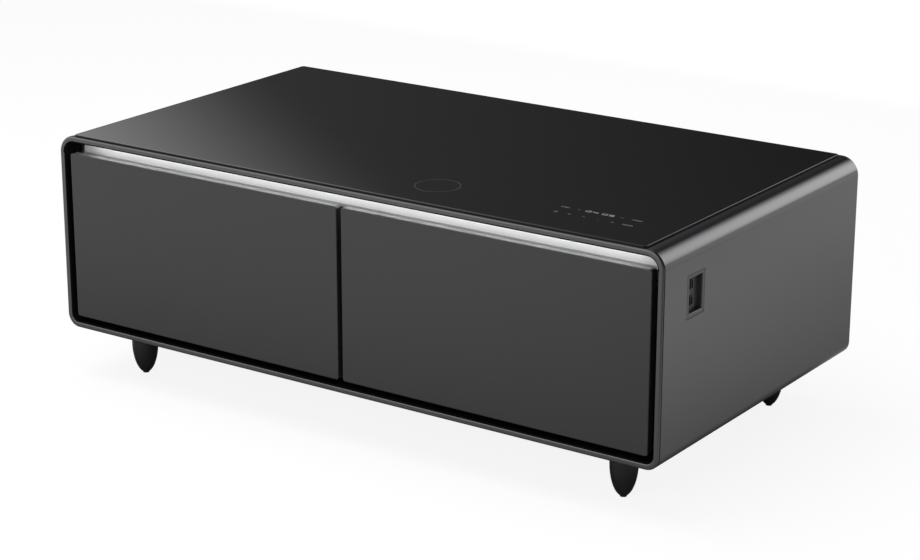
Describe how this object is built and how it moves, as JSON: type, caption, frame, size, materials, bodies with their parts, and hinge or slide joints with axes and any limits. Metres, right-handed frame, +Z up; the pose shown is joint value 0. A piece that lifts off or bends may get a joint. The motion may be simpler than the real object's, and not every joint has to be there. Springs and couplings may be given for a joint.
{
  "type": "refrigerator_coffee_table",
  "caption": "Low black coffee table with two refrigerated drawers, a lit finger gap, glass touch-control top, wireless charger, side outlet and bullet feet",
  "frame": {"origin": "on the floor under the middle of the table's body", "axes": "+X to the right as seen from the drawer side, along the length; +Y to the back; +Z up, drawers open along -Y"},
  "size_m": [1.3, 0.7, 0.4775],
  "materials": {
    "body_black": "satin black powder coat with a fine grain",
    "rim_grey": "satin dark grey coat on the trim frame",
    "front_black": "smooth satin black drawer fronts",
    "inner_black": "matt black coat on inner steel",
    "black_glass": "black back-printed tempered glass, polished",
    "bright_aluminium": "bright anodised aluminium, fine brushing",
    "raw_aluminium": "plain mill-finish aluminium",
    "zinc_steel": "zinc-plated steel sheet and fasteners",
    "slide_steel": "zinc-plated cold-rolled slide members, lightly greased",
    "copper": "bright drawn copper",
    "inner_plastic": "moulded black plastic, fine spark texture",
    "bezel_plastic": "moulded dark grey plastic",
    "liner_plastic": "white food-safe liner plastic",
    "bin_plastic": "light grey moulded bin plastic",
    "lens_white": "frosted white light lens",
    "foam": "rigid polyurethane foam",
    "board_green": "green circuit board with soldered parts",
    "foot_black": "satin black lacquered turned foot",
    "pad_rubber": "black rubber",
    "gasket_rubber": "soft black magnetic door gasket"
  },
  "bodies": {
    "cabinet": {"outer_shell": "body_black", "chassis_plate": "zinc_steel", "front_trim_frame": "rim_grey", "face_frame": "inner_black", "top_glass": "black_glass", "back_panel": "body_black", "back_panel_screws": "zinc_steel", "foot_pads": "pad_rubber", "foot_studs": "zinc_steel", "insulation_foam": "foam", "bay_wall": "zinc_steel", "header_cover": "inner_plastic", "light_reflector": "bright_aluminium", "led_channel": "raw_aluminium", "led_diffuser": "lens_white", "charger_housing": "inner_plastic", "charger_coil": "copper", "touch_tray": "inner_plastic", "touch_board": "board_green", "outlet_bezel": "bezel_plastic", "outlet_module": "inner_plastic", "slide_outer_rails": "slide_steel", "compressor": "inner_black", "compressor_mounts": "pad_rubber", "condenser_tubes": "raw_aluminium", "condenser_fins": "raw_aluminium", "fan_shroud": "inner_plastic", "fan_frame": "inner_plastic", "filter_drier": "copper", "refrigerant_pipes": "copper", "drain_pan": "liner_plastic", "control_board": "board_green", "power_inlet": "inner_plastic", "foot_front_left": "foot_black", "foot_front_right": "foot_black", "foot_rear_left": "foot_black", "foot_rear_right": "foot_black", "liner_left": "liner_plastic", "evaporator_left": "raw_aluminium", "liner_right": "liner_plastic", "evaporator_right": "raw_aluminium"},
    "fan": {"fan_rotor": "inner_plastic"},
    "drawer_left": {"drawer_left_front": "front_black", "drawer_left_grip": "bright_aluminium", "drawer_left_core": "inner_plastic", "drawer_left_gasket": "gasket_rubber", "drawer_left_bin": "bin_plastic", "drawer_left_screws": "zinc_steel", "slide_left_inner_rails": "slide_steel"},
    "slide_left": {"slide_left_middle_rails": "slide_steel"},
    "drawer_right": {"drawer_right_front": "front_black", "drawer_right_grip": "bright_aluminium", "drawer_right_core": "inner_plastic", "drawer_right_gasket": "gasket_rubber", "drawer_right_bin": "bin_plastic", "drawer_right_screws": "zinc_steel", "slide_right_inner_rails": "slide_steel"},
    "slide_right": {"slide_right_middle_rails": "slide_steel"}
  },
  "joints": [
    {"name": "drawer_left_slide", "type": "slide", "parent": "cabinet", "child": "drawer_left", "axis": [0, -1, 0], "range_m": [0, 0.39]},
    {"name": "slide_left_middle", "type": "slide", "parent": "cabinet", "child": "slide_left", "axis": [0, -1, 0], "range_m": [0, 0.195]},
    {"name": "drawer_right_slide", "type": "slide", "parent": "cabinet", "child": "drawer_right", "axis": [0, -1, 0], "range_m": [0, 0.39]},
    {"name": "slide_right_middle", "type": "slide", "parent": "cabinet", "child": "slide_right", "axis": [0, -1, 0], "range_m": [0, 0.195]},
    {"name": "fan_spin", "type": "hinge", "parent": "cabinet", "child": "fan", "pos_m": [-0.1955, 0.2608, 0.2165], "axis": [1, 0, 0], "continuous": true}
  ],
  "couplings": [
    {"joint": "slide_left_middle", "follows": "drawer_left_slide", "ratio": 0.5},
    {"joint": "slide_right_middle", "follows": "drawer_right_slide", "ratio": 0.5}
  ]
}
